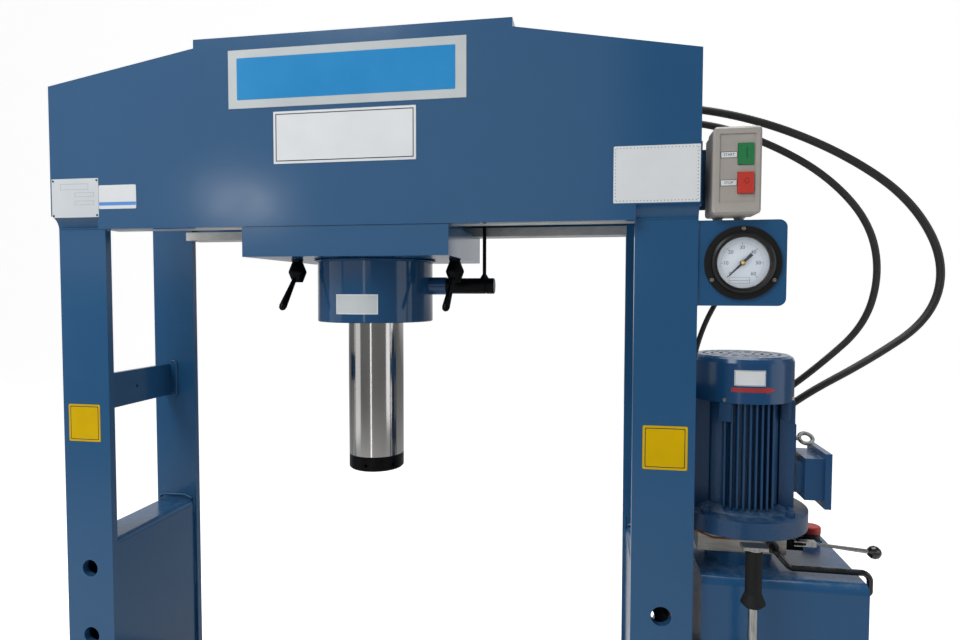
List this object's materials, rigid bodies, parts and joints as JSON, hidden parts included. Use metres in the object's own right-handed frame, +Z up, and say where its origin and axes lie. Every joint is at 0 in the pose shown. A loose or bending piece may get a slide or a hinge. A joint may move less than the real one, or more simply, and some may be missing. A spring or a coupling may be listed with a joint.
{
  "type": "hydraulic press",
  "caption": "Blue H-frame workshop press: sliding cylinder and chromed ram under a deep head, gauge, start and stop buttons, hoses, oil tank with motor, valve and hand pump.",
  "frame": {"origin": "on the floor, at the middle of the frame between the uprights", "axes": "+X to the operator's right, where the oil tank is, +Y to the back, +Z up"},
  "size_m": [1.8561, 0.86, 1.965],
  "materials": {
    "blue_paint": "gloss paint, light dust and small chips",
    "blue_cast": "gloss paint over rough casting",
    "bare_steel": "bare rolled steel",
    "ground_steel": "ground and machined",
    "chrome": "hard chrome, ground bright",
    "black_steel": "black oxide, semi-gloss",
    "black_paint": "gloss black",
    "hose_rubber": "woven rubber hose cover",
    "grip_rubber": "moulded rubber",
    "grey_plastic": "light grey moulded",
    "black_plastic": "moulded, glossy",
    "green_plastic": "moulded, glossy",
    "red_plastic": "moulded, glossy",
    "dial_white": "matt white",
    "needle_paint": "satin",
    "glass": "clear flat glass",
    "copper": "drawn copper",
    "cast_iron": "as cast and machined",
    "bronze": "turned bronze",
    "aluminium": "turned"
  },
  "bodies": {
    "frame": {"upright_front_left": "blue_paint", "upright_front_right": "blue_paint", "upright_rear_left": "blue_paint", "upright_rear_right": "blue_paint", "head_front_plate": "blue_paint", "head_rear_plate": "blue_paint", "head_top_plate": "blue_paint", "head_rails": "bare_steel", "side_braces": "blue_paint", "side_panel_left": "blue_paint", "side_panel_right": "blue_paint", "feet": "blue_paint", "bed": "blue_paint", "bed_pins": "ground_steel", "hose_pressure": "hose_rubber", "hose_return": "hose_rubber", "block_elbows": "black_steel", "gauge_plate": "blue_paint", "gauge_case": "black_paint", "gauge_dial": "dial_white", "gauge_lens": "glass", "panel_screws": "bare_steel", "gauge_hose": "hose_rubber", "copper_tube": "copper", "starter_bracket": "blue_paint", "starter_base": "grey_plastic", "starter_cover": "grey_plastic", "tank_bracket": "blue_paint", "oil_tank": "blue_paint", "valve_block": "ground_steel", "pump_unit": "cast_iron", "motor_housing": "blue_cast", "motor_cowl": "blue_paint", "motor_eyebolt": "bare_steel", "terminal_box": "blue_cast", "valve_body": "black_steel", "outlet_pipe": "black_paint", "hand_pump_body": "cast_iron"},
    "carriage": {"carriage_plate": "blue_paint", "carriage_hangers": "bare_steel", "cylinder_barrel": "blue_paint", "cylinder_end_cap": "black_steel", "cylinder_gland": "bronze", "side_coupling": "black_steel", "riser_pipe": "black_steel", "cap_elbow": "black_steel"},
    "ram_body": {"ram": "chrome", "ram_head": "black_steel"},
    "left_clamp": {"clamp_lever_left": "black_steel"},
    "right_clamp": {"clamp_lever_right": "black_steel"},
    "pointer": {"gauge_needle": "needle_paint"},
    "green_key": {"starter_button_green": "green_plastic"},
    "red_key": {"starter_button_red": "red_plastic"},
    "rotor": {"motor_rotor": "cast_iron"},
    "valve_handle": {"valve_lever": "ground_steel", "valve_knob": "black_plastic"},
    "pump_handle": {"hand_lever": "bare_steel", "hand_grip": "grip_rubber"},
    "pump_plunger": {"hand_pump_plunger": "ground_steel"},
    "tank_cap": {"filler_cap": "red_plastic"}
  },
  "joints": [
    {"name": "carriage_slide", "type": "slide", "parent": "frame", "child": "carriage", "axis": [1, 0, 0], "range_m": [-0.28, 0.28], "deforming": ["hose_pressure", "hose_return"]},
    {"name": "ram_slide", "type": "slide", "parent": "carriage", "child": "ram_body", "axis": [0, 0, 1], "range_m": [-0.008, 0.29]},
    {"name": "left_clamp_turn", "type": "hinge", "parent": "carriage", "child": "left_clamp", "pos_m": [-0.16, -0.06, 1.503], "axis": [0, 0, 1], "range_deg": [-60, 50]},
    {"name": "right_clamp_turn", "type": "hinge", "parent": "carriage", "child": "right_clamp", "pos_m": [0.19, -0.06, 1.503], "axis": [0, 0, 1], "range_deg": [-60, 60]},
    {"name": "needle_turn", "type": "hinge", "parent": "frame", "child": "pointer", "pos_m": [0.737, -0.155, 1.5125], "axis": [0, 1, 0], "range_deg": [0, 270], "stiffness_Nm_per_rad": 0.004},
    {"name": "green_press", "type": "slide", "parent": "frame", "child": "green_key", "axis": [0, 1, 0], "range_m": [0, 0.004], "stiffness_N_per_m": 300},
    {"name": "red_press", "type": "slide", "parent": "frame", "child": "red_key", "axis": [0, 1, 0], "range_m": [0, 0.004], "stiffness_N_per_m": 300},
    {"name": "rotor_spin", "type": "hinge", "parent": "frame", "child": "rotor", "pos_m": [0.772, 0, 1.2], "axis": [0, 0, 1], "continuous": true},
    {"name": "valve_swing", "type": "hinge", "parent": "frame", "child": "valve_handle", "pos_m": [0.866, -0.07, 0.979], "axis": [0, 0, 1], "range_deg": [-15, 15]},
    {"name": "pump_handle_swing", "type": "hinge", "parent": "frame", "child": "pump_handle", "pos_m": [0.756, -0.196, 0.64], "axis": [1, 0, 0], "range_deg": [0, 25]},
    {"name": "plunger_slide", "type": "slide", "parent": "frame", "child": "pump_plunger", "axis": [0, 0, 1], "range_m": [0, 0.02]},
    {"name": "cap_turn", "type": "hinge", "parent": "frame", "child": "tank_cap", "pos_m": [0.944, 0.097, 0.93], "axis": [0, 0, 1], "range_deg": [0, 60]}
  ],
  "couplings": [
    {"joint": "plunger_slide", "follows": "pump_handle_swing", "m_per_rad": 0.045}
  ]
}
